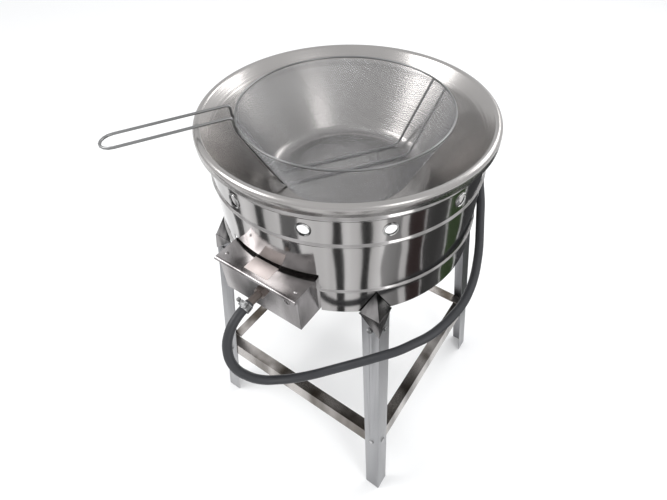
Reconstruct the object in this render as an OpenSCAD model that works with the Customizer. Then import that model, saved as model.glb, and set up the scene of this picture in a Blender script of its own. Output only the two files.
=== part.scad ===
// Gas kettle fryer: a wide spun kettle seated in a polished drum casing on four splayed
// angle legs, with a ring burner, a burner box, a gas hose and a wire strainer basket.
// Millimetres. +Z up, origin on the floor on the drum's axis, burner box towards -Y.

/* [Kettle] */
// Outside diameter of the kettle's rolled rim
rim_d = 430; // [428:1:436]
// Height of the top of the rim above the floor
rim_top = 715; // [714:1:725]
// Radius of the rim's roll
rim_roll = 6; // [5:0.5:7]
// Height of the skirt under the roll
skirt_h = 9; // [4:1:12]
// Depth of the kettle inside
kettle_depth = 118; // [114:1:118]
// Slope of the kettle's wall from level, in degrees
kettle_slope = 55; // [54:1:60]
// Thickness of the spun aluminium
kettle_wall = 2.2; // [1.5:0.1:3]

/* [Drum casing] */
// Outside diameter of the drum
drum_d = 408; // [404:1:410]
// Height of the drum's lower edge above the floor
drum_bottom = 506; // [500:1:510]
// Thickness of the drum's sheet
drum_wall = 1; // [0.8:0.1:1.5]
// How far the rolled beads stand out
bead_out = 2.4; // [1.5:0.1:3]
// Number of vent holes round the drum
vent_count = 12; // [8:1:16]
// Diameter of a vent hole
vent_d = 16; // [12:1:18]
// Height of the vent holes above the floor
vent_z = 665; // [660:1:670]

/* [Frame] */
// Distance of each leg's corner from the drum's axis at the floor, along X and along Y
foot_xy = 216; // [210:1:222]
// The same distance at the drum's lower edge
top_xy = 161; // [160:1:163]
// Width of a leg's flange
leg_w = 30; // [28:1:32]
// Thickness of the leg sheet
leg_t = 1.2; // [1:0.1:1.5]
// Height of the stretchers' top face above the floor
stretcher_z = 190; // [150:5:220]
// Depth of a stretcher's upright flange
stretcher_h = 32; // [24:1:36]
// Width of a stretcher's level flange
stretcher_w = 20; // [16:1:24]

/* [Burner box] */
// Width of the box
box_w = 142; // [130:1:144]
// Height of the box
box_h = 70; // [66:1:72]
// Distance from the drum's axis to the box's front face
box_front = 231; // [228:1:236]
// Offset of the box along X
box_x = 6; // [0:1:8]
// Offset of the gas line along X
gas_x = 16; // [10:1:20]
// Height of the gas line above the floor
gas_z = 554; // [550:1:556]

/* [Basket] */
// Radius of the basket's rim wire
basket_r = 158; // [150:1:160]
// Height of the basket's rim above the floor
basket_top = 709; // [706:1:712]
// Height of the basket's bottom above the floor
basket_bottom = 602.5; // [602.5:0.5:606]
// Direction of the handle from the basket's centre, in degrees
handle_az = -125; // [-140:1:-110]
// Distance between the handle's two wires
handle_gap = 34; // [30:1:38]
// Diameter of the handle's wire
handle_d = 4; // [3:0.5:5]

/* [Hose] */
// Outside diameter of the gas hose
hose_d = 13.5; // [12:0.5:14]

/* [Hidden] */
$fn = 96;
big = 1000;
gap = 0.3;

// Rim, kettle and drum
rim_r = rim_d / 2;
roll_x = rim_r - rim_roll;
roll_z = rim_top - rim_roll;
kettle_floor = rim_top - kettle_depth;
kettle_fillet = 25;
drum_r = drum_d / 2;
wall_x = roll_x + rim_roll * cos(90 + kettle_slope) + kettle_wall * sin(kettle_slope);
wall_z = roll_z + rim_roll * sin(90 + kettle_slope) - kettle_wall * cos(kettle_slope);
drum_top = wall_z - (wall_x - drum_r + drum_wall) * tan(kettle_slope) - gap;
bead_half = 4;
bead_heights = [553, 642, 686];
vent_start = -11;

// Frame
lean = (foot_xy - top_xy) / drum_bottom;
flange_tilt = atan(lean);
splay = atan(lean * sqrt(2));
leg_top = drum_bottom - 6;
bracket_t = 1.2;
bracket_w = 35;
bracket_top = bead_heights[0] - bead_half - 1;
bracket_screw_z = 482;
screw_in = 15;
screw_d = 5;
screw_head_d = 9;
screw_head_h = 2.6;
stretcher_screw_z = stretcher_z - 17;

// Burner box and gas line
sheet = 1;
box_left = box_x - box_w / 2;
box_top = drum_bottom + box_h;
box_back = 178;
box_lip = 15;
hem_r = 3.2;
ring_r = 75;
ring_hole_r = 42;
ring_low = gas_z - 16;
ring_high = gas_z + 10;
bridge_w = 30;
bridge_t = 3;
bridge_z = drum_bottom + sheet;
tube_r = 12;
bell_r = 18;
bell_y = -200;
shutter_t = 2;
shutter_y = bell_y - gap - shutter_t;
pipe_end = -264;

// Basket
basket_c = [-10, 10];
basket_slope = 63;
basket_fillet = 15;
mesh_t = 1;
rim_wire_r = 1.6;
handle_r = handle_d / 2;
handle_end = 330;
handle_end_z = rim_top + 2;
handle_knee_z = rim_top + 12;
handle_shift = 12;

// Gas hose: its centreline, from the box's inlet to the regulator
hose_r = hose_d / 2;
hose_route = [
  [16, -258, 554], [15, -283, 549], [16, -303, 535], [21, -316, 514], [30, -320, 491],
  [42, -314, 469], [56, -302, 452], [72, -285, 442], [89, -267, 437], [107, -249, 438],
  [124, -232, 442], [143, -215, 449], [161, -199, 456], [179, -183, 464], [196, -166, 470],
  [211, -146, 476], [224, -125, 480], [233, -102, 484], [239, -77, 488], [242, -53, 491],
  [241, -28, 496], [237, -4, 502], [230, 20, 510], [222, 41, 520], [212, 62, 531],
  [202, 81, 544], [192, 100, 557], [180, 118, 571], [168, 136, 583], [152, 154, 593],
  [134, 170, 599], [114, 185, 600], [89, 199, 590], [69, 210, 569], [56, 219, 540],
  [50, 225, 506], [48, 228, 470], [48, 228, 430]
];
hose_end = hose_route[len(hose_route) - 1];
hose_dip = atan2(hose_route[0][2] - hose_route[1][2], hose_route[0][1] - hose_route[1][1]);
clip_at = [114, 185, 600];
clip_az = atan2(clip_at[1], clip_at[0]);
clip_w = 12;

// Colours
steel = "gainsboro";
spun = "silver";
iron = "dimgray";
brass = "goldenrod";

// ---------- helpers ----------

// Points along a round arc from angle a0 to a1
function arc(c, r, a0, a1, n) =
  [for (i = [0:n]) c + r * [cos(a0 + (a1 - a0) * i / n), sin(a0 + (a1 - a0) * i / n)]];

function unit(v) = v / norm(v);
function left_of(v) = [-v[1], v[0]];
function side(p, i) = let (n = len(p), a = p[max(i - 1, 0)], b = p[i], c = p[min(i + 1, n - 1)],
    u = i == 0 ? unit(c - b) : unit(b - a), w = i == n - 1 ? u : unit(c - b),
    m = unit(left_of(u) + left_of(w))) m / (m * left_of(u));

// A sheet's section: the path and the same path moved t to its right
function sheet_section(p, t) =
  concat(p, [for (i = [len(p) - 1:-1:0]) p[i] - t * side(p, i)]);

// Rise and fall of a rolled bead at height z
function bead(z) = [for (i = [-4:4]) [bead_out * (1 + cos(i * 45)) / 2, z + i * bead_half / 4]];

// A rotated copy in each quarter: sx and sy are the signs of X and Y
module quarter(sx, sy) {
  mirror([sx < 0 ? 1 : 0, 0, 0]) mirror([0, sy < 0 ? 1 : 0, 0]) children();
}

// A pan-head screw along +X, its head's underside at the origin
module screw(length, d, head_d, head_h) {
  rotate([0, 90, 0]) {
    cylinder(h = length, r = d / 2, $fn = 24);
    translate([0, 0, -head_h]) intersection() {
      cylinder(h = head_h, r = head_d / 2, $fn = 32);
      translate([0, 0, head_d * 0.62]) sphere(r = head_d * 0.74, $fn = 32);
    }
  }
}

// Directions along a route, and a side direction carried along them without twist
function ways(p) = [for (i = [0:len(p) - 1]) unit(p[min(i + 1, len(p) - 1)] - p[max(i - 1, 0)])];
function carried(w, i, s) = i == len(w) ? [] :
  let (q = unit(s - (s * w[i]) * w[i])) concat([q], carried(w, i + 1, q));

// A tube of n sides swept along a route
module swept_tube(route, r, n) {
  m = len(route);
  w = ways(route);
  s = carried(w, 0, [0.2, 0.1, 1]);
  points = [for (i = [0:m - 1]) for (k = [0:n - 1])
    route[i] + r * (cos(360 * k / n) * s[i] + sin(360 * k / n) * cross(w[i], s[i]))];
  sides = [for (i = [0:m - 2]) for (k = [0:n - 1])
    [i * n + k, (i + 1) * n + k, (i + 1) * n + (k + 1) % n, i * n + (k + 1) % n]];
  polyhedron(points, concat([[for (k = [0:n - 1]) k]],
    sides, [[for (k = [n - 1:-1:0]) (m - 1) * n + k]]), convexity = 6);
}

// ---------- kettle and drum ----------

// Spun kettle: flat floor, sloping wall, lip rolled over and turned down
module kettle() {
  wall_top = [roll_x + rim_roll * cos(90 + kettle_slope), roll_z + rim_roll * sin(90 + kettle_slope)];
  knee_z = kettle_floor + kettle_fillet * (1 - cos(kettle_slope));
  knee_x = wall_top[0] - (wall_top[1] - knee_z) / tan(kettle_slope);
  fillet_x = knee_x - kettle_fillet * sin(kettle_slope);
  path = concat([[0, kettle_floor]],
    arc([fillet_x, kettle_floor + kettle_fillet], kettle_fillet, -90, -90 + kettle_slope, 8),
    arc([roll_x, roll_z], rim_roll, 90 + kettle_slope, 0, 14),
    [[rim_r, roll_z - skirt_h]]);
  color(spun) rotate_extrude($fn = 180) polygon(sheet_section(path, kettle_wall));
}

// Drum: a sheet tube with rolled beads, vent holes and a cut-out for the burner box
module drum_casing() {
  path = concat([[0, drum_bottom]], bead(bead_heights[0]), bead(bead_heights[1]),
    bead(bead_heights[2]), [[0, drum_top]]);
  outline = [for (p = path) [drum_r + p[0], p[1]]];
  color(steel) difference() {
    rotate_extrude($fn = 180)
      polygon(concat(outline, [for (i = [len(outline) - 1:-1:0]) outline[i] - [drum_wall, 0]]));
    for (k = [0:vent_count - 1]) rotate([0, 0, vent_start + k * 360 / vent_count])
      translate([drum_r - 20, 0, vent_z]) rotate([0, 90, 0]) cylinder(h = 40, r = vent_d / 2, $fn = 32);
    translate([box_left - 3, -big, drum_bottom - 1]) cube([box_w + 6, big - box_back + 20, box_h + 9]);
    translate([0, drum_r - 20, bridge_z + 14]) rotate([-90, 0, 0])
      cylinder(h = 40, r = screw_d / 2, $fn = 24);
  }
}

// ---------- burner and gas line ----------

// Cast ring with two feet that stand on the bridge
module burner_ring() {
  foot_y = (ring_r + ring_hole_r) / 2;
  color(iron) difference() {
    union() {
      translate([0, 0, ring_low]) rotate_extrude()
        polygon([[ring_hole_r, 0], [ring_r, 0], [ring_r, 20], [ring_r - 8, 26], [ring_hole_r + 8, 26],
          [ring_hole_r, 20]]);
      for (s = [-1, 1]) translate([0, s * foot_y, bridge_z + bridge_t])
        cylinder(h = ring_low - bridge_z, r = 7, $fn = 32);
    }
    translate([gas_x, bell_y, gas_z]) rotate([-90, 0, 0])
      cylinder(h = -bell_y - ring_r + 10, r = tube_r + 0.05, $fn = 48);
    for (s = [-1, 1]) translate([0, s * foot_y, bridge_z]) cylinder(h = 20, r = screw_d / 2, $fn = 24);
  }
}

// Flat bar from the box's lip to the drum's rear wall, its rear end turned up
module burner_bridge() {
  rear = drum_r - drum_wall - 0.8;
  foot_y = (ring_r + ring_hole_r) / 2;
  color("darkgray") difference() {
    union() {
      translate([-bridge_w / 2, -box_front + sheet, bridge_z])
        cube([bridge_w, box_front - sheet + rear, bridge_t]);
      translate([-bridge_w / 2, rear - bridge_t, bridge_z]) cube([bridge_w, bridge_t, 26]);
    }
    for (y = [-foot_y, foot_y, -box_front + 9]) translate([0, y, bridge_z - 1])
      cylinder(h = bridge_t + 2, r = screw_d / 2, $fn = 24);
    translate([0, rear - 10, bridge_z + 14]) rotate([-90, 0, 0])
      cylinder(h = 20, r = screw_d / 2, $fn = 24);
  }
}

module bridge_screws() {
  foot_y = (ring_r + ring_hole_r) / 2;
  color(steel) {
    for (y = [-foot_y, foot_y]) translate([0, y, bridge_z])
      rotate([0, -90, 0]) screw(18, screw_d, screw_head_d, screw_head_h);
    translate([0, -box_front + 9, drum_bottom])
      rotate([0, -90, 0]) screw(8, screw_d, screw_head_d, screw_head_h);
    translate([0, drum_r, bridge_z + 14])
      rotate([0, 0, -90]) screw(10, screw_d, screw_head_d, screw_head_h);
  }
}

// Mixing tube with a flared mouth
module venturi_tube() {
  color(iron) translate([gas_x, 0, gas_z]) rotate([90, 0, 0]) rotate_extrude()
    polygon([[tube_r - 3, 66], [tube_r, 66], [tube_r, -bell_y - 26], [bell_r, -bell_y - 6],
      [bell_r, -bell_y], [bell_r - 3, -bell_y], [bell_r - 3, -bell_y - 5], [tube_r - 3, -bell_y - 25]]);
}

// Slotted disc that turns in front of the tube's mouth
module air_shutter() {
  color(steel) translate([gas_x, shutter_y + shutter_t, gas_z]) rotate([90, 0, 0]) difference() {
    cylinder(h = shutter_t, r = bell_r, $fn = 64);
    translate([0, 0, -1]) cylinder(h = shutter_t + 2, r = 5, $fn = 32);
    for (k = [0:3]) rotate([0, 0, 45 + 90 * k]) translate([11.5, 0, -1])
      cylinder(h = shutter_t + 2, r = 3.8, $fn = 32);
  }
}

// Small knob that turns the shutter
module shutter_knob() {
  color(brass) translate([gas_x, shutter_y, gas_z - bell_r + 4]) rotate([90, 0, 0])
    cylinder(h = 7, r = 3, $fn = 32);
}

// Injector on the inner end of the inlet, its nose in the shutter's hole
module gas_jet() {
  color(brass) translate([gas_x, -216, gas_z]) rotate([-90, 0, 0]) {
    cylinder(h = 9, r = 7, $fn = 6);
    translate([0, 0, 9]) cylinder(h = 6, r = 4, $fn = 32);
  }
}

// Inlet: a pipe through the box's front with a hexagon outside
module gas_inlet() {
  color("rosybrown") translate([gas_x, 0, gas_z]) rotate([90, 0, 0]) {
    translate([0, 0, 216]) cylinder(h = box_front - 216, r = 5, $fn = 32);
    translate([0, 0, box_front]) cylinder(h = 9, r = 9.5, $fn = 6);
    translate([0, 0, box_front + 9]) cylinder(h = -pipe_end - box_front - 9, r = 5.8, $fn = 48);
  }
}

module inlet_nut() {
  color(brass) translate([gas_x, -box_front + sheet + 5, gas_z]) rotate([90, 0, 0]) difference() {
    cylinder(h = 5, r = 9, $fn = 6);
    translate([0, 0, -1]) cylinder(h = 7, r = 5.05, $fn = 32);
  }
}

// ---------- burner box ----------

// Folded shell: front, two sides and a lip round the open bottom
module box_shell() {
  color(steel) difference() {
    translate([box_left, -box_front, drum_bottom]) cube([box_w, box_front - box_back, box_h - sheet]);
    translate([box_left + sheet, -box_front + sheet, drum_bottom + sheet])
      cube([box_w - 2 * sheet, box_front, box_h]);
    translate([box_left + box_lip, -box_front + box_lip, drum_bottom - 1])
      cube([box_w - 2 * box_lip, box_front, 3]);
    translate([gas_x, -box_front - 1, gas_z]) rotate([-90, 0, 0]) cylinder(h = 3, r = 5.05, $fn = 32);
    translate([0, -box_front + 9, drum_bottom - 1]) cylinder(h = 3, r = screw_d / 2, $fn = 24);
  }
}

// Lid with its front edge rolled into a hem
module box_lid() {
  back = 166;
  color(steel) {
    translate([box_left - 1, -box_front - 2, box_top - sheet]) cube([box_w + 2, box_front + 2 - back, sheet]);
    translate([box_left - 1, -box_front - hem_r - gap, box_top - hem_r])
      rotate([0, 90, 0]) cylinder(h = box_w + 2, r = hem_r, $fn = 32);
  }
}

module box_rivets() {
  color(steel) {
    for (x = [box_left + 9, box_left + box_w - 9]) translate([x, -box_front + 9, box_top])
      intersection() {
        cylinder(h = 1.4, r = 3, $fn = 32);
        translate([0, 0, -2.5]) sphere(r = 4, $fn = 32);
      }
    translate([box_left + box_w - 20, -box_front, gas_z + 2]) rotate([90, 0, 0]) intersection() {
      cylinder(h = 1.8, r = 6, $fn = 32);
      translate([0, 0, -10.5]) sphere(r = 12.3, $fn = 48);
    }
  }
}

// Plain label on the lid
module label_blank() {
  color("mistyrose") translate([box_x - 24, -box_front + 3, box_top]) cube([42, 24, 0.3]);
}

// ---------- hose and regulator ----------

// Band with a raised housing for its worm screw
module band_clamp() {
  difference() {
    union() {
      cylinder(h = 10, r = hose_r + 1.2, $fn = 64);
      translate([-6, hose_r, 1]) cube([12, 5.5, 8]);
    }
    translate([0, 0, -1]) cylinder(h = 12, r = hose_r + 0.05, $fn = 64);
  }
}

module hose_clamp() {
  color(steel) translate([gas_x, -261, gas_z - 0.6]) rotate([90 + hose_dip, 0, 0]) band_clamp();
}

module clamp_screw() {
  color(steel) translate([gas_x - 6, -266.3, gas_z + hose_r + 2.6])
    rotate([0, 180, 0]) mirror([1, 0, 0]) translate([-4, 0, 0]) cube([4, 5, 5], center = true);
}

module gas_hose() {
  color("darkslategray") swept_tube(hose_route, hose_r, 10);
}

// Clip that holds the hose against the drum's rear wall
module hose_clip() {
  out = norm([clip_at[0], clip_at[1]]);
  color(steel) rotate([0, 0, clip_az]) difference() {
    union() {
      translate([out, clip_w / 2, clip_at[2]]) rotate([90, 0, 0])
        cylinder(h = clip_w, r = hose_r + 1.6, $fn = 64);
      translate([drum_r + gap, -clip_w / 2, clip_at[2] + 4]) cube([1.5, clip_w, 26]);
      translate([drum_r + gap, -clip_w / 2, clip_at[2] + 4]) cube([out - drum_r, clip_w, 5]);
    }
    translate([out, clip_w, clip_at[2]]) rotate([90, 0, 0])
      cylinder(h = 2 * clip_w, r = hose_r + 0.1, $fn = 64);
  }
}

module clip_screw() {
  color(steel) rotate([0, 0, clip_az]) translate([drum_r + gap + 1.5, 0, clip_at[2] + 23])
    rotate([0, 0, 180]) screw(8, 4, 8, 2.2);
}

// Hose spout of the regulator, pointing up
module regulator_spout() {
  color(brass) translate([hose_end[0], hose_end[1], hose_end[2] - 16]) {
    translate([0, 0, 6]) cylinder(h = 10, r = 5.8, $fn = 48);
    cylinder(h = 8, r = 8, $fn = 6);
  }
}

module regulator_clamp() {
  color(steel) translate([hose_end[0], hose_end[1], hose_end[2] + 4]) rotate([0, 0, 90]) band_clamp();
}

// Cast body: a round diaphragm housing on an upright boss
module regulator_body() {
  color("slategray") translate([hose_end[0], hose_end[1], hose_end[2] - 75]) {
    cylinder(h = 59, r = 11, $fn = 48);
    translate([0, 0, 32]) rotate([-90, 0, 0]) {
      cylinder(h = 14, r = 26, $fn = 64);
      translate([0, 0, 14]) cylinder(h = 5, r = 20, $fn = 64);
    }
  }
}

// Pressure knob on the housing's face
module regulator_knob() {
  color("firebrick") translate([hose_end[0], hose_end[1] + 19 + gap, hose_end[2] - 43])
    rotate([-90, 0, 0]) difference() {
      cylinder(h = 16, r = 12, $fn = 64);
      for (k = [0:7]) rotate([0, 0, 45 * k]) translate([14, 0, -1]) cylinder(h = 18, r = 3, $fn = 32);
    }
}

// Hand nut for the gas cylinder, on the body's lower end
module cylinder_nut() {
  color(brass) translate([hose_end[0], hose_end[1], hose_end[2] - 75 - gap - 22]) difference() {
    union() {
      cylinder(h = 22, r = 11, $fn = 48);
      for (s = [-1, 1]) translate([s * 16 - 8, -2.5, 4]) cube([16, 5, 16]);
    }
    translate([0, 0, -1]) cylinder(h = 17, r = 8, $fn = 48);
  }
}

// ---------- frame ----------

// Leg axes: from the corner at the floor, leaning in over the diagonal
module along_leg() {
  translate([foot_xy, foot_xy, 0]) rotate(a = splay, v = [1, -1, 0]) children();
}

// Section of an angle: the outside corner at the origin, the flanges towards -X and -Y
module angle_section(w, t) {
  polygon([[0, 0], [-w, 0], [-w, -t], [-t, -t], [-t, -w], [0, -w]]);
}

// Screw holes through both flanges at a height above the floor
module flange_holes(z) {
  along_leg() translate([0, 0, z / cos(splay)]) {
    translate([-screw_in, 10, 0]) rotate([90, 0, 0]) cylinder(h = 20, r = screw_d / 2 + 0.05, $fn = 24);
    translate([10, -screw_in, 0]) rotate([0, -90, 0]) cylinder(h = 20, r = screw_d / 2 + 0.05, $fn = 24);
  }
}

module leg(sx, sy) {
  color(steel) quarter(sx, sy) difference() {
    along_leg() translate([0, 0, -20]) linear_extrude(drum_bottom + 30) angle_section(leg_w, leg_t);
    translate([0, 0, -50]) cube([big, big, 100], center = true);
    translate([0, 0, leg_top + 50]) cube([big, big, 100], center = true);
    flange_holes(bracket_screw_z);
    flange_holes(stretcher_screw_z);
  }
}

// Bracket: an angle over the leg's top, closed above by a three-sided dart on the drum
module bracket(sx, sy) {
  k = top_xy + bracket_t;
  low = drum_bottom - 2;
  apex = [drum_r * cos(45) + 1, drum_r * cos(45) + 1, bracket_top];
  color(steel) quarter(sx, sy) {
    difference() {
      along_leg() translate([bracket_t, bracket_t, 0])
        linear_extrude(drum_bottom + 30) angle_section(bracket_w, bracket_t);
      translate([0, 0, drum_bottom + 50]) cube([big, big, 100], center = true);
      // pointed lower end: one sloping cut on each flange
      for (m = [0, 1]) mirror([m, -m, 0]) translate([foot_xy + 20, big / 2, 415])
        rotate([0, 40, 0]) translate([-big, -big, -big]) cube([2 * big, 2 * big, big]);
      flange_holes(bracket_screw_z);
    }
    difference() {
      polyhedron([[k, k, low], [k - bracket_w, k, low], [k, k - bracket_w, low], apex],
        [[0, 1, 2], [0, 3, 1], [1, 3, 2], [2, 3, 0]]);
      translate([0, 0, low - 1]) cylinder(h = 60, r = drum_r + 0.1, $fn = 180);
    }
  }
}

// Screws through both flanges of every leg at a height above the floor
module corner_screws(z, off) {
  color(steel) for (sx = [-1, 1]) for (sy = [-1, 1]) quarter(sx, sy)
    along_leg() translate([0, 0, z / cos(splay)]) {
      translate([-screw_in, off, 0]) rotate([0, 0, -90]) screw(8, screw_d, screw_head_d, screw_head_h);
      translate([off, -screw_in, 0]) rotate([0, 0, 180]) screw(8, screw_d, screw_head_d, screw_head_h);
    }
}

// Angle stretcher along X on the -Y side: its upright flange lies against the legs
module stretcher(upright_half, level_half) {
  y = foot_xy - lean * stretcher_z - leg_t - 0.6;
  hole_x = foot_xy - lean * stretcher_screw_z - screw_in;
  color(steel) difference() {
    union() {
      translate([-upright_half, -y, stretcher_z]) rotate([flange_tilt * -1, 0, 0])
        translate([0, 0, -stretcher_h]) cube([2 * upright_half, leg_t, stretcher_h]);
      translate([-level_half, -y, stretcher_z - leg_t]) cube([2 * level_half, stretcher_w, leg_t]);
    }
    for (s = [-1, 1]) translate([s * hole_x, -y - 20, stretcher_screw_z]) rotate([-90, 0, 0])
      cylinder(h = 40, r = screw_d / 2 + 0.3, $fn = 24);
  }
}

stretcher_half = foot_xy - lean * stretcher_z - leg_t - 0.8;

// ---------- basket ----------

// Strainer: a woven bowl, kept here as a thin closed shell
module basket_mesh() {
  knee_z = basket_bottom + basket_fillet * (1 - cos(basket_slope));
  knee_x = basket_r - (basket_top - knee_z) / tan(basket_slope);
  path = concat([[0, basket_bottom]],
    arc([knee_x - basket_fillet * sin(basket_slope), basket_bottom + basket_fillet], basket_fillet,
      -90, -90 + basket_slope, 6), [[basket_r, basket_top]]);
  color("lightsteelblue") translate([basket_c[0], basket_c[1], 0])
    rotate_extrude($fn = 120) polygon(sheet_section(path, mesh_t));
}

module basket_rim() {
  color(steel) translate([basket_c[0], basket_c[1], basket_top + rim_wire_r])
    rotate_extrude($fn = 120) translate([basket_r - 0.5, 0]) circle(r = rim_wire_r, $fn = 24);
}

// Handle: one wire, up the far wall, under the floor, out over the lip, round and back
module basket_handle() {
  half = handle_gap / 2;
  knee_x = basket_r - (basket_top - basket_bottom) / tan(basket_slope);
  wall_top = basket_r + rim_wire_r + handle_r - 0.2;
  low = basket_bottom - mesh_t - handle_r - 0.2;
  profile = [[-wall_top + 1.3, basket_top - 2.5], [-wall_top + 2.7, basket_top - 6],
    [-knee_x - 9, basket_bottom + 8], [-knee_x - 5, basket_bottom + 1.5], [-knee_x + 3, low],
    [knee_x - 3, low], [knee_x + 5, basket_bottom + 1.5], [knee_x + 9, basket_bottom + 8],
    [wall_top - 2.7, basket_top - 6], [wall_top, basket_top + 2.2], [wall_top + 0.5, handle_knee_z - 4],
    [wall_top + 2, handle_knee_z - 1], [wall_top + 5.5, handle_knee_z]];
  end = handle_end - half;
  rise = (handle_end_z - handle_knee_z) / (handle_end - wall_top - 5.5);
  bow = [for (a = [-90:22.5:90]) [end + half * cos(a), half * sin(a) - handle_shift,
    handle_knee_z + rise * (end + half * cos(a) - wall_top - 5.5)]];
  function wire(y) = [for (p = profile) [sign(p[0]) * sqrt(p[0] * p[0] - y * y), y, p[1]]];
  one = wire(-half - handle_shift);
  two = wire(half - handle_shift);
  color(steel) translate([basket_c[0], basket_c[1], 0]) rotate([0, 0, handle_az])
    swept_tube(concat(one, bow, [for (i = [len(two) - 1:-1:0]) two[i]]), handle_r, 8);
}

kettle();
drum_casing();
burner_ring();
burner_bridge();
bridge_screws();
venturi_tube();
air_shutter();
shutter_knob();
gas_jet();
gas_inlet();
inlet_nut();
box_shell();
box_lid();
box_rivets();
label_blank();
hose_clamp();
clamp_screw();
gas_hose();
hose_clip();
clip_screw();
regulator_body();
regulator_spout();
regulator_clamp();
regulator_knob();
cylinder_nut();
leg(-1, -1);  // leg_front_left
leg(1, -1);  // leg_front_right
leg(-1, 1);  // leg_rear_left
leg(1, 1);  // leg_rear_right
bracket(-1, -1);  // bracket_front_left
bracket(1, -1);  // bracket_front_right
bracket(-1, 1);  // bracket_rear_left
bracket(1, 1);  // bracket_rear_right
stretcher(stretcher_half, stretcher_half - 1.5);  // stretcher_front
rotate([0, 0, 180]) stretcher(stretcher_half, stretcher_half - 1.5);  // stretcher_rear
rotate([0, 0, -90]) stretcher(stretcher_half - 2, stretcher_half - stretcher_w - 1);  // stretcher_left
rotate([0, 0, 90]) stretcher(stretcher_half - 2, stretcher_half - stretcher_w - 1);  // stretcher_right
corner_screws(bracket_screw_z, bracket_t);  // bracket_screws
corner_screws(stretcher_screw_z, 0);  // stretcher_screws
basket_mesh();
basket_rim();
basket_handle();
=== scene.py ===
import math

import bpy
import numpy as np
from mathutils import Matrix, Vector


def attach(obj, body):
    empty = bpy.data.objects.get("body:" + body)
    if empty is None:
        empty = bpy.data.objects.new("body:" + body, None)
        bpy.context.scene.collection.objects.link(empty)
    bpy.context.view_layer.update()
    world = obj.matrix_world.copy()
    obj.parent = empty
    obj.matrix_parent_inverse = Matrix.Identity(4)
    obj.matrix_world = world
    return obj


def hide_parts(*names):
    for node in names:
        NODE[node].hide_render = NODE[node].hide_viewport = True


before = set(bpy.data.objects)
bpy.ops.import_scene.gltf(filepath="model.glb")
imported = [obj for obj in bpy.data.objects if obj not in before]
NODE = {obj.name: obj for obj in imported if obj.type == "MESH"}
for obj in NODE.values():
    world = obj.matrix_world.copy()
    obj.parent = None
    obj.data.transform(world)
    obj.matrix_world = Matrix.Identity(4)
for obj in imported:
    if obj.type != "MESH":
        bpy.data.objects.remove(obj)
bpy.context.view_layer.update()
scene = bpy.context.scene

# ---------------------------------------------------------------------------
# Camera and studio
# A pale sweep of paper under three large soft lamps, seen from above the front right corner.
# Cards round the object show only as reflections in its polished metal.
# ---------------------------------------------------------------------------
cam_data = bpy.data.cameras.new("camera")
cam_data.sensor_width = 36.0
cam_data.lens = 36.0 * 447.8 / 667
cam_data.shift_x = -0.0238
cam_data.clip_end = 50
camera = bpy.data.objects.new("camera", cam_data)
scene.collection.objects.link(camera)
right = Vector((0.82709, 0.56200, -0.00881))
up = Vector((-0.40539, 0.60732, 0.68324))
back = right.cross(up)
spot = Vector((0.3304, -0.4765, 1.0380))
camera.matrix_world = Matrix.Translation(spot) @ Matrix(
    (right, up, back)).transposed().to_4x4()
scene.camera = camera


def mesh_object(name, points, faces, smooth=True):
    mesh = bpy.data.meshes.new(name)
    mesh.from_pydata([tuple(p) for p in points], [], faces)
    mesh.update()
    mesh.polygons.foreach_set("use_smooth", [smooth] * len(mesh.polygons))
    obj = bpy.data.objects.new(name, mesh)
    scene.collection.objects.link(obj)
    return obj


def material(name, color, rough, metal=0.0):
    mat = bpy.data.materials.new(name)
    mat.use_nodes = True
    bsdf = mat.node_tree.nodes["Principled BSDF"]
    bsdf.inputs["Base Color"].default_value = (*color, 1)
    bsdf.inputs["Roughness"].default_value = rough
    bsdf.inputs["Metallic"].default_value = metal
    return mat


paper = material("paper", (0.93, 0.93, 0.93), 0.9)
floor = mesh_object("floor", [(-6, -6, 0), (6, -6, 0), (6, 6, 0), (-6, 6, 0)], [(0, 1, 2, 3)])
floor.data.materials.append(paper)

world = bpy.data.worlds.new("studio")
scene.world = world
scene.view_settings.view_transform = "Standard"
world.use_nodes = True
world.node_tree.nodes["Background"].inputs["Color"].default_value = (0.98, 0.99, 1.0, 1)
world.node_tree.nodes["Background"].inputs["Strength"].default_value = 0.95


def lamp(name, place, aim, power, wide, tall):
    data = bpy.data.lights.new(name, "AREA")
    data.shape = "RECTANGLE"
    data.size = wide
    data.size_y = tall
    data.energy = power
    obj = bpy.data.objects.new(name, data)
    scene.collection.objects.link(obj)
    obj.location = place
    obj.rotation_euler = (Vector(aim) - Vector(place)).to_track_quat("-Z", "Y").to_euler()
    return obj


lamp("key", (-1.6, -1.2, 2.4), (0, 0, 0.5), 26, 1.4, 1.0)
lamp("fill", (2.2, -0.8, 1.8), (0, 0, 0.5), 12, 0.8, 1.6)
lamp("back", (0.6, 2.2, 2.2), (0, 0, 0.6), 20, 1.8, 0.7)


def card(name, start, stop, near, far, tone):
    """A card lying round the object, seen only as a reflection in polished metal."""
    n = max(2, int((stop - start) / 4))
    turns = [math.radians(start + (stop - start) * k / n) for k in range(n + 1)]
    points = [(r * math.cos(a), r * math.sin(a), 0.003) for r in (near, far) for a in turns]
    faces = [(k, n + 1 + k, n + 2 + k, k + 1) for k in range(n)]
    obj = mesh_object(name, points, faces)
    obj.data.materials.append(material(name, tone, 0.9))
    obj.visible_camera = obj.visible_diffuse = obj.visible_shadow = False
    obj.visible_transmission = obj.visible_volume_scatter = False


CARD_NEAR = 0.42
CARD_FAR = 1.5
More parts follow.
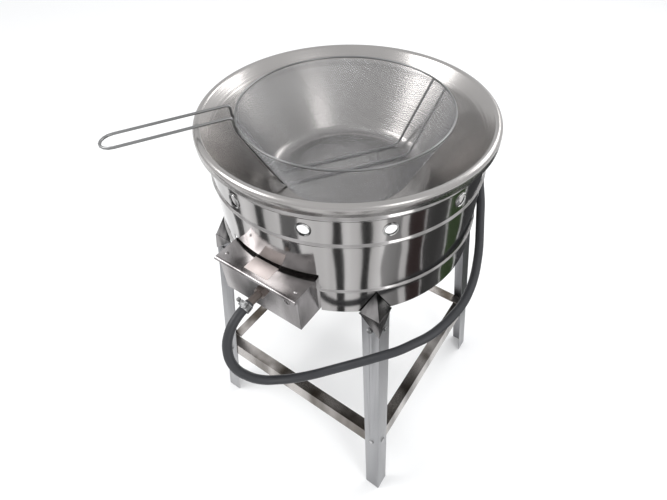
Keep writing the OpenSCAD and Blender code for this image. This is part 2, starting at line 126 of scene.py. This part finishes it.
# Turn from +X in degrees where each card starts and stops, and its tone
for k, (start, stop, tone) in enumerate([
        (-66, -59, (0.02, 0.02, 0.02)), (-46, -40, (0.02, 0.02, 0.02)),
        (-30, -16, (0.30, 0.30, 0.30)), (-10, 4, (0.04, 0.022, 0.022)),
        (5, 26, (0.06, 0.06, 0.06)), (27, 46, (0.032, 0.060, 0.018)),
        (48, 80, (0.03, 0.03, 0.032)), (148, 160, (0.04, 0.04, 0.04)),
        (-160, -148, (0.05, 0.05, 0.05)), (-128, -120, (0.05, 0.05, 0.05)),
        (-108, -94, (0.15, 0.15, 0.15))]):
    card(f"card_{k}", start, stop, CARD_NEAR, CARD_FAR, tone)


# ---------------------------------------------------------------------------
# Gas hose
# Black rubber hose about a metre long: it loops out from the box, round the front leg, up
# behind the drum to a clip, and hangs to the regulator.
# ---------------------------------------------------------------------------
HOSE = [(16, -258, 554), (15, -283, 549), (16, -303, 535), (21, -316, 514), (30, -320, 491),
        (42, -314, 469), (56, -302, 452), (72, -285, 442), (89, -267, 437), (107, -249, 438),
        (124, -232, 442), (143, -215, 449), (161, -199, 456), (179, -183, 464), (196, -166, 470),
        (211, -146, 476), (224, -125, 480), (233, -102, 484), (239, -77, 488), (242, -53, 491),
        (241, -28, 496), (237, -4, 502), (230, 20, 510), (222, 41, 520), (212, 62, 531),
        (202, 81, 544), (192, 100, 557), (180, 118, 571), (168, 136, 583), (152, 154, 593),
        (134, 170, 599), (114, 185, 600), (89, 199, 590), (69, 210, 569), (56, 219, 540),
        (50, 225, 506), (48, 228, 470), (48, 228, 430)]


def mottled(name, tone, rough, metal=0.0, grain=300.0, vary=0.15, depth=0.0001):
    """Cast, moulded or drawn stuff: uneven in tone and gloss, with a fine grain."""
    mat = material(name, tone, rough, metal)
    n = mat.node_tree.nodes
    link = mat.node_tree.links.new
    bsdf = n["Principled BSDF"]
    coord = n.new("ShaderNodeTexCoord")
    fine = n.new("ShaderNodeTexNoise")
    fine.inputs["Scale"].default_value = grain
    fine.inputs["Detail"].default_value = 3
    link(coord.outputs["Object"], fine.inputs["Vector"])
    coarse = n.new("ShaderNodeTexNoise")
    coarse.inputs["Scale"].default_value = grain / 8
    link(coord.outputs["Object"], coarse.inputs["Vector"])
    mix = n.new("ShaderNodeMix")
    mix.data_type = "RGBA"
    mix.inputs[6].default_value = (*[c * (1 - vary) for c in tone], 1)
    mix.inputs[7].default_value = (*[min(c * (1 + vary), 1) for c in tone], 1)
    link(coarse.outputs[0], mix.inputs["Factor"])
    link(mix.outputs[2], bsdf.inputs["Base Color"])
    gloss = n.new("ShaderNodeMapRange")
    gloss.inputs["To Min"].default_value = rough * 0.8
    gloss.inputs["To Max"].default_value = min(rough * 1.2, 1.0)
    link(coarse.outputs[0], gloss.inputs["Value"])
    link(gloss.outputs[0], bsdf.inputs["Roughness"])
    bump = n.new("ShaderNodeBump")
    bump.inputs["Strength"].default_value = 0.5
    bump.inputs["Distance"].default_value = depth
    link(fine.outputs[0], bump.inputs["Height"])
    link(bump.outputs[0], bsdf.inputs["Normal"])
    return mat


HOSE_D = 0.0135
hose_curve = bpy.data.curves.new("hose", "CURVE")
hose_curve.dimensions = "3D"
line = hose_curve.splines.new("BEZIER")
line.bezier_points.add(len(HOSE) - 1)
for point, place in zip(line.bezier_points, HOSE):
    point.co = [v / 1000 for v in place]
    point.handle_left_type = point.handle_right_type = "AUTO"
hose_curve.resolution_u = 8
hose_curve.bevel_depth = HOSE_D / 2
hose_curve.bevel_resolution = 6
hose_curve.use_fill_caps = True
hose = bpy.data.objects.new("hose", hose_curve)
scene.collection.objects.link(hose)
rubber = mottled("hose_rubber", (0.026, 0.027, 0.031), 0.45, 0.0, 500, 0.3)
hose_curve.materials.append(rubber)
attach(hose, "stand")
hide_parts("gas_hose")

# ---------------------------------------------------------------------------
# Kettle
# Aluminium pan spun on a wheel from one disc, satin from the tool, with a thick rolled rim.
# It drops into the drum and hangs by its skirt.
# ---------------------------------------------------------------------------
def dress(node, mat, round_edge=0.0004):
    """A solid shown as it is: joined up, its edges broken, with its material."""
    obj = NODE[node]
    mesh = obj.data
    mesh.materials.clear()
    mesh.materials.append(mat)
    if mesh.has_custom_normals:
        bpy.context.view_layer.objects.active = obj
        bpy.ops.mesh.customdata_custom_splitnormals_clear()
    mesh.polygons.foreach_set("use_smooth", [True] * len(mesh.polygons))
    mesh.polygons.foreach_set("material_index", [0] * len(mesh.polygons))
    weld = obj.modifiers.new("weld", "WELD")
    weld.merge_threshold = 0.00002
    if round_edge:
        bevel = obj.modifiers.new("edge", "BEVEL")
        bevel.width = round_edge
        bevel.segments = 2
        bevel.limit_method = "ANGLE"
        bevel.angle_limit = math.radians(32)
        bevel.harden_normals = True
    return obj


def spun(name, tone, rough, pitch, depth):
    """Metal turned on a wheel: fine rings round the axis, and a faint cloudiness."""
    mat = material(name, tone, rough, 1.0)
    n = mat.node_tree.nodes
    link = mat.node_tree.links.new
    coord = n.new("ShaderNodeTexCoord")
    parts = n.new("ShaderNodeSeparateXYZ")
    link(coord.outputs["Object"], parts.inputs[0])
    flat = n.new("ShaderNodeCombineXYZ")
    link(parts.outputs["X"], flat.inputs["X"])
    link(parts.outputs["Y"], flat.inputs["Y"])
    reach = n.new("ShaderNodeVectorMath")
    reach.operation = "LENGTH"
    link(flat.outputs[0], reach.inputs[0])
    rings = n.new("ShaderNodeTexNoise")
    rings.noise_dimensions = "1D"
    rings.inputs["Scale"].default_value = 1 / pitch
    rings.inputs["Detail"].default_value = 1.5
    link(reach.outputs["Value"], rings.inputs["W"])
    bump = n.new("ShaderNodeBump")
    bump.inputs["Strength"].default_value = 0.6
    bump.inputs["Distance"].default_value = depth
    link(rings.outputs[0], bump.inputs["Height"])
    link(bump.outputs[0], n["Principled BSDF"].inputs["Normal"])
    cloud = n.new("ShaderNodeTexNoise")
    cloud.inputs["Scale"].default_value = 9
    cloud.inputs["Detail"].default_value = 3
    link(coord.outputs["Object"], cloud.inputs["Vector"])
    mix = n.new("ShaderNodeMix")
    mix.data_type = "RGBA"
    mix.inputs[6].default_value = (*[0.86 * c for c in tone], 1)
    mix.inputs[7].default_value = (*[1.1 * c for c in tone], 1)
    link(cloud.outputs[0], mix.inputs["Factor"])
    link(mix.outputs[2], n["Principled BSDF"].inputs["Base Color"])
    return mat


aluminium = spun("spun_aluminium", (0.40, 0.385, 0.375), 0.26, 0.0016, 0.00022)
dress("kettle", aluminium, 0)

# ---------------------------------------------------------------------------
# Drum casing
# Thin stainless sheet rolled into a tube and mirror polished, with three pressed beads and a
# ring of vents. The kettle sits in it, and the burner hangs under the kettle.
# ---------------------------------------------------------------------------
BEADS = (0.553, 0.642, 0.686)
BEAD_HALF = 0.004
BEAD_HIGH = 0.0024


# Shared effect: long soft streaky bands of lighter and darker tone painted in the base colour:
# painted reflections of what bright sheet mirrors, and uneven polish; they are fixed to the
# piece. Round parts take them round the drum's axis, flat parts along their length.
def painted_reflection_group():
    tree = bpy.data.node_groups.new("painted_reflection_streaks", "ShaderNodeTree")
    face = tree.interface
    face.new_socket("Across", in_out="INPUT", socket_type="NodeSocketFloat").default_value = 9
    face.new_socket("Along", in_out="INPUT", socket_type="NodeSocketFloat").default_value = 1.2
    face.new_socket("Round", in_out="INPUT", socket_type="NodeSocketFloat").default_value = 1
    face.new_socket("Value", in_out="OUTPUT", socket_type="NodeSocketFloat")
    n = tree.nodes
    link = tree.links.new
    given = n.new("NodeGroupInput")
    out = n.new("NodeGroupOutput")
    coord = n.new("ShaderNodeTexCoord")
    parts = n.new("ShaderNodeSeparateXYZ")
    link(coord.outputs["Object"], parts.inputs[0])
    flat = n.new("ShaderNodeCombineXYZ")
    link(parts.outputs["X"], flat.inputs["X"])
    link(parts.outputs["Y"], flat.inputs["Y"])
    unit = n.new("ShaderNodeVectorMath")
    unit.operation = "NORMALIZE"
    link(flat.outputs[0], unit.inputs[0])
    grown = n.new("ShaderNodeVectorMath")
    grown.operation = "SCALE"
    grown.inputs["Scale"].default_value = 7.0
    link(flat.outputs[0], grown.inputs[0])
    mix = n.new("ShaderNodeMix")
    mix.data_type = "VECTOR"
    link(given.outputs["Round"], mix.inputs["Factor"])
    link(grown.outputs[0], mix.inputs[4])
    link(unit.outputs[0], mix.inputs[5])
    wide = n.new("ShaderNodeVectorMath")
    wide.operation = "SCALE"
    link(mix.outputs[1], wide.inputs[0])
    link(given.outputs["Across"], wide.inputs["Scale"])
    tall = n.new("ShaderNodeMath")
    tall.operation = "MULTIPLY"
    link(parts.outputs["Z"], tall.inputs[0])
    link(given.outputs["Along"], tall.inputs[1])
    rise = n.new("ShaderNodeCombineXYZ")
    link(tall.outputs[0], rise.inputs["Z"])
    total = n.new("ShaderNodeVectorMath")
    total.operation = "ADD"
    link(wide.outputs[0], total.inputs[0])
    link(rise.outputs[0], total.inputs[1])
    noise = n.new("ShaderNodeTexNoise")
    noise.inputs["Scale"].default_value = 1.0
    noise.inputs["Detail"].default_value = 2.5
    noise.inputs["Roughness"].default_value = 0.45
    link(total.outputs[0], noise.inputs["Vector"])
    ramp = n.new("ShaderNodeMapRange")
    ramp.interpolation_type = "SMOOTHSTEP"
    ramp.inputs["From Min"].default_value = 0.36
    ramp.inputs["From Max"].default_value = 0.64
    link(noise.outputs[0], ramp.inputs["Value"])
    link(ramp.outputs[0], out.inputs[0])
    return tree


PAINTED_REFLECTIONS = painted_reflection_group()


def painted_reflection_and_polish(name, dark, light, rough, across=9.0, along=1.2, turned=1.0, dent=0.0):
    """Bright sheet: painted reflections and uneven polish as streaky tone, a fine grain, and
    slow waves where dent isn't 0.
    """
    mat = material(name, light, rough, 1.0)
    n = mat.node_tree.nodes
    link = mat.node_tree.links.new
    group = n.new("ShaderNodeGroup")
    group.node_tree = PAINTED_REFLECTIONS
    group.inputs["Across"].default_value = across
    group.inputs["Along"].default_value = along
    group.inputs["Round"].default_value = turned
    mix = n.new("ShaderNodeMix")
    mix.data_type = "RGBA"
    mix.inputs[6].default_value = (*dark, 1)
    mix.inputs[7].default_value = (*light, 1)
    link(group.outputs["Value"], mix.inputs["Factor"])
    link(mix.outputs[2], n["Principled BSDF"].inputs["Base Color"])
    coord = n.new("ShaderNodeTexCoord")
    grain = n.new("ShaderNodeTexNoise")
    grain.inputs["Scale"].default_value = 60
    grain.inputs["Detail"].default_value = 3
    link(coord.outputs["Object"], grain.inputs["Vector"])
    bump = n.new("ShaderNodeBump")
    bump.inputs["Strength"].default_value = 0.06
    bump.inputs["Distance"].default_value = 0.0006
    link(grain.outputs[0], bump.inputs["Height"])
    link(bump.outputs[0], n["Principled BSDF"].inputs["Normal"])
    if dent:
        # Thin sheet never lies quite flat: slow waves, a hand's breadth apart
        wave = n.new("ShaderNodeTexNoise")
        wave.inputs["Scale"].default_value = 9
        wave.inputs["Detail"].default_value = 1
        link(coord.outputs["Object"], wave.inputs["Vector"])
        swell = n.new("ShaderNodeBump")
        swell.inputs["Strength"].default_value = 1.0
        swell.inputs["Distance"].default_value = dent
        link(wave.outputs[0], swell.inputs["Height"])
        link(swell.outputs[0], bump.inputs["Normal"])
    return mat


def drum_normals(obj):
    """Sets the drum's shading from its own shape, so that long facets don't show."""
    mesh = obj.data
    mesh.polygons.foreach_set("use_smooth", [True] * len(mesh.polygons))
    co = np.zeros(len(mesh.vertices) * 3)
    mesh.vertices.foreach_get("co", co)
    co = co.reshape(-1, 3)
    corner = np.zeros(len(mesh.loops), int)
    mesh.loops.foreach_get("vertex_index", corner)
    flat = np.zeros(len(mesh.polygons) * 3)
    mesh.polygons.foreach_get("normal", flat)
    flat = np.repeat(flat.reshape(-1, 3), [p.loop_total for p in mesh.polygons], axis=0)
    p = co[corner]
    out = p[:, :2] / np.linalg.norm(p[:, :2], axis=1)[:, None]
    facing = (flat[:, :2] * out).sum(1)
    slope = np.zeros(len(p))
    for z in BEADS:
        d = p[:, 2] - z
        near = np.abs(d) < BEAD_HALF
        steep = BEAD_HIGH * math.pi / (2 * BEAD_HALF)
        slope[near] = -steep * np.sin(np.pi * d[near] / BEAD_HALF)
    shape = np.column_stack([out, -slope])
    shape /= np.linalg.norm(shape, axis=1)[:, None]
    normal = np.where((facing > 0.35)[:, None], shape,
                      np.where((facing < -0.35)[:, None], -shape, flat))
    mesh.normals_split_custom_set([tuple(v) for v in normal])


# The drum's streaky dark and light tone is painted reflection and uneven polish, set in its base
# colour.
mirror = painted_reflection_and_polish("mirror_steel", (0.30, 0.29, 0.285), (0.47, 0.455, 0.45), 0.11,
                  across=5.0, along=0.6, dent=0.004)
drum = NODE["drum_casing"]
drum.data.materials.clear()
drum.data.materials.append(mirror)
drum_normals(drum)


def tube_group():
    """Edges to round wires: the mesh's edges become curves, and the curves wires."""
    tree = bpy.data.node_groups.new("wires", "GeometryNodeTree")
    face = tree.interface
    face.new_socket("Geometry", in_out="INPUT", socket_type="NodeSocketGeometry")
    radius = face.new_socket("Radius", in_out="INPUT", socket_type="NodeSocketFloat")
    sides = face.new_socket("Sides", in_out="INPUT", socket_type="NodeSocketInt")
    mat = face.new_socket("Material", in_out="INPUT", socket_type="NodeSocketMaterial")
    face.new_socket("Geometry", in_out="OUTPUT", socket_type="NodeSocketGeometry")
    n = tree.nodes
    link = tree.links.new
    given = n.new("NodeGroupInput")
    out = n.new("NodeGroupOutput")
    curve = n.new("GeometryNodeMeshToCurve")
    ring = n.new("GeometryNodeCurvePrimitiveCircle")
    tube = n.new("GeometryNodeCurveToMesh")
    tube.inputs["Fill Caps"].default_value = True
    real = n.new("GeometryNodeRealizeInstances")
    paint_it = n.new("GeometryNodeSetMaterial")
    link(given.outputs["Geometry"], curve.inputs["Mesh"])
    link(given.outputs["Radius"], ring.inputs["Radius"])
    link(given.outputs["Sides"], ring.inputs["Resolution"])
    link(curve.outputs["Curve"], tube.inputs["Curve"])
    link(ring.outputs["Curve"], tube.inputs["Profile Curve"])
    link(tube.outputs["Mesh"], real.inputs[0])
    link(real.outputs[0], paint_it.inputs["Geometry"])
    link(given.outputs["Material"], paint_it.inputs["Material"])
    link(paint_it.outputs[0], out.inputs[0])
    return tree, radius.identifier, sides.identifier, mat.identifier


WIRES, WIRE_RADIUS, WIRE_SIDES, WIRE_MATERIAL = tube_group()


def wire_piece(name, lines, radius, sides, mat, closed=False):
    """Round wires along the given lines of points, as one plain mesh."""
    points = []
    edges = []
    for route in lines:
        start = len(points)
        points += [tuple(p) for p in route]
        edges += [(start + i, start + i + 1) for i in range(len(route) - 1)]
        if closed:
            edges.append((start + len(route) - 1, start))
    mesh = bpy.data.meshes.new(name + "_lines")
    mesh.from_pydata(points, edges, [])
    raw = bpy.data.objects.new(name + "_lines", mesh)
    scene.collection.objects.link(raw)
    mod = raw.modifiers.new("wires", "NODES")
    mod.node_group = WIRES
    mod[WIRE_RADIUS] = radius
    mod[WIRE_SIDES] = sides
    mod[WIRE_MATERIAL] = mat
    bpy.context.view_layer.update()
    made = bpy.data.meshes.new_from_object(
        raw.evaluated_get(bpy.context.evaluated_depsgraph_get()))
    made.name = name
    bpy.data.objects.remove(raw)
    if not made.materials:
        made.materials.append(mat)
    obj = bpy.data.objects.new(name, made)
    scene.collection.objects.link(obj)
    return obj


# Pressed collars round the vents: each ring follows the drum's curve
VENTS = 12
VENT_FIRST = -11
VENT_RING = 0.0093
VENT_Z = 0.665
DRUM_R = 0.2044
STEPS = 40
rings = []
for k in range(VENTS):
    az = math.radians(VENT_FIRST + 360 / VENTS * k)
    ring = []
    for i in range(STEPS):
        t = 2 * math.pi * i / STEPS
        across = VENT_RING * math.cos(t)
        turn = az + across / DRUM_R
        ring.append((DRUM_R * math.cos(turn), DRUM_R * math.sin(turn),
                     VENT_Z + VENT_RING * math.sin(t)))
    rings.append(ring)
# The collars' dark and bright bands are painted reflections and painted highlights in the base
# colour.
collar_steel = painted_reflection_and_polish("collar_steel", (0.05, 0.05, 0.05), (0.7, 0.7, 0.69), 0.12, 20, 20)
collars = wire_piece("vent_collars", rings, 0.0013, 8, collar_steel, closed=True)
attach(collars, "stand")

# ---------------------------------------------------------------------------
# Burner
# Cast iron ring screwed to a flat bar across the drum, and a cast mixing tube.
# A zinc shutter turns on the tube's mouth, round a brass injector.
# ---------------------------------------------------------------------------
iron = mottled("cast_iron", (0.055, 0.053, 0.05), 0.75, 0.6, 260, 0.35, 0.0004)
# Zinc parts: painted reflections and uneven polish as streaky tone in the base colour.
zinc = painted_reflection_and_polish("zinc", (0.18, 0.18, 0.18), (0.55, 0.55, 0.55), 0.25, 20, 30, 0)
brass = mottled("brass", (0.72, 0.53, 0.24), 0.3, 1.0, 400, 0.12, 0.00005)
dress("burner_ring", iron)
dress("venturi_tube", iron)
for part in ("burner_bridge", "bridge_screws", "air_shutter"):
    dress(part, zinc)
for part in ("shutter_knob", "gas_jet", "inlet_nut"):
    dress(part, brass)

# ---------------------------------------------------------------------------
# Burner box
# Folded stainless tray riveted under a lid whose front edge is rolled; a plain label is
# stuck on the lid, and the gas inlet passes through the front.
# ---------------------------------------------------------------------------
# Box tray, lid and rivets: painted reflections and uneven polish as streaky tone in the base
# colour.
folded = painted_reflection_and_polish("folded_steel", (0.14, 0.13, 0.13), (0.42, 0.40, 0.40), 0.18,
                  across=3.0, along=6.0, turned=0, dent=0.003)
dress("box_shell", folded)
dress("box_lid", folded)
dress("box_rivets", folded)
film = mottled("label", (0.80, 0.70, 0.67), 0.45, 0.0, 200, 0.06, 0.00005)
dress("label_blank", film, 0)
dull = mottled("dull_fitting", (0.20, 0.17, 0.155), 0.45, 0.9, 350, 0.25)
dress("gas_inlet", dull)
for part in ("hose_clamp", "clamp_screw", "hose_clip", "clip_screw"):
    dress(part, zinc, 0.0003)

# ---------------------------------------------------------------------------
# Regulator
# Die-cast zinc housing painted grey, with a red moulded knob on its face.
# A turned brass spout takes the hose, and a brass hand nut goes on the gas bottle.
# ---------------------------------------------------------------------------
paint = mottled("regulator_paint", (0.26, 0.29, 0.32), 0.4, 0.0, 500, 0.08)
red = mottled("knob_plastic", (0.4, 0.03, 0.02), 0.5, 0.0, 700, 0.08)
dress("regulator_body", paint, 0.001)
dress("regulator_spout", brass)
dress("regulator_clamp", zinc, 0.0003)
dress("regulator_knob", red, 0.001)
dress("cylinder_nut", brass, 0.0006)

# ---------------------------------------------------------------------------
# Legs, brackets and stretchers
# Folded stainless angle, satin on the legs and bright on the brackets.
# Screws hold the legs in the brackets and the stretchers to the legs.
# ---------------------------------------------------------------------------
# Legs, stretchers and brackets: painted reflections and uneven polish as streaky tone in the
# base colour, darkest on the brackets.
satin = painted_reflection_and_polish("satin_steel", (0.24, 0.24, 0.25), (0.40, 0.40, 0.41), 0.35, 2.0, 0.8, 0)
rail = painted_reflection_and_polish("rail_steel", (0.10, 0.085, 0.07), (0.50, 0.47, 0.45), 0.22, 2.4, 1.0, 0)
bright = painted_reflection_and_polish("bracket_steel", (0.02, 0.02, 0.02), (0.26, 0.25, 0.25), 0.12,
                  across=6.0, along=14.0, turned=0, dent=0.003)
for corner in ("front_left", "front_right", "rear_left", "rear_right"):
    dress("leg_" + corner, satin)
    dress("bracket_" + corner, bright)
for side in ("front", "rear", "left", "right"):
    dress("stretcher_" + side, rail)
dress("bracket_screws", zinc, 0.0003)
dress("stretcher_screws", zinc, 0.0003)


# ---------------------------------------------------------------------------
# Strainer basket
# Woven steel wire cloth pressed into a bowl and hooked over a rim wire.
# One bent handle wire passes under the bowl twice and carries it.
# ---------------------------------------------------------------------------
weave = mottled("basket_wire", (0.52, 0.52, 0.53), 0.24, 1.0, 120, 0.12, 0.00002)
thick = mottled("handle_wire", (0.24, 0.24, 0.24), 0.3, 1.0, 120, 0.25, 0.00003)
CENTRE = (-0.010, 0.010)
FLAT = 0.0945
FLOOR_Z = 0.6025
BEND = 0.015
SLOPE = math.radians(63)
WALL = 0.1092
MESH_WIRE_R = 0.00026
MESH_PITCH = 0.0035
MESH_LIFT = 0.0003
MESH_DROP = 0.0005


def bowl(u, v, lift):
    """The point of the flat sheet (u, v), pressed into the bowl and lifted off its surface."""
    s = math.hypot(u, v)
    turn = BEND * SLOPE
    if s <= FLAT:
        r, z, a = s, FLOOR_Z, 0.0
    elif s <= FLAT + turn:
        a = (s - FLAT) / BEND
        r = FLAT + BEND * math.sin(a)
        z = FLOOR_Z + BEND * (1 - math.cos(a))
    else:
        a = SLOPE
        d = s - FLAT - turn
        r = FLAT + BEND * math.sin(a) + d * math.cos(a)
        z = FLOOR_Z + BEND * (1 - math.cos(a)) + d * math.sin(a)
    r += -math.sin(a) * lift
    z += math.cos(a) * lift
    k = r / s if s > 1e-9 else 1.0
    return (CENTRE[0] + u * k, CENTRE[1] + v * k, z)


def family(turned, pitch=MESH_PITCH, lift=MESH_LIFT):
    """The wires of one direction, over and under the other direction's in turn."""
    edge = FLAT + BEND * SLOPE + WALL
    half = int(edge / pitch)
    lines = []
    for i in range(-half, half + 1):
        u = i * pitch
        reach = math.sqrt(max(edge * edge - u * u, 0))
        count = int(reach / pitch)
        if count < 1:
            continue
        steps = [k * pitch for k in range(-count, count + 1)]
        ends = [-reach] + steps + [reach]
        route = []
        for v in ends:
            up_down = 1 if (i + round(v / pitch) + turned) % 2 else -1
            route.append(bowl(v, u, up_down * lift - MESH_DROP) if turned
                         else bowl(u, v, up_down * lift - MESH_DROP))
        lines.append(route)
    return lines


for turned, name in ((0, "basket_warp"), (1, "basket_weft")):
    piece = wire_piece(name, family(turned), MESH_WIRE_R, 4, weave)
    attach(piece, "basket")
    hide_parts("basket_mesh")
dress("basket_rim", thick, 0)
dress("basket_handle", thick, 0)
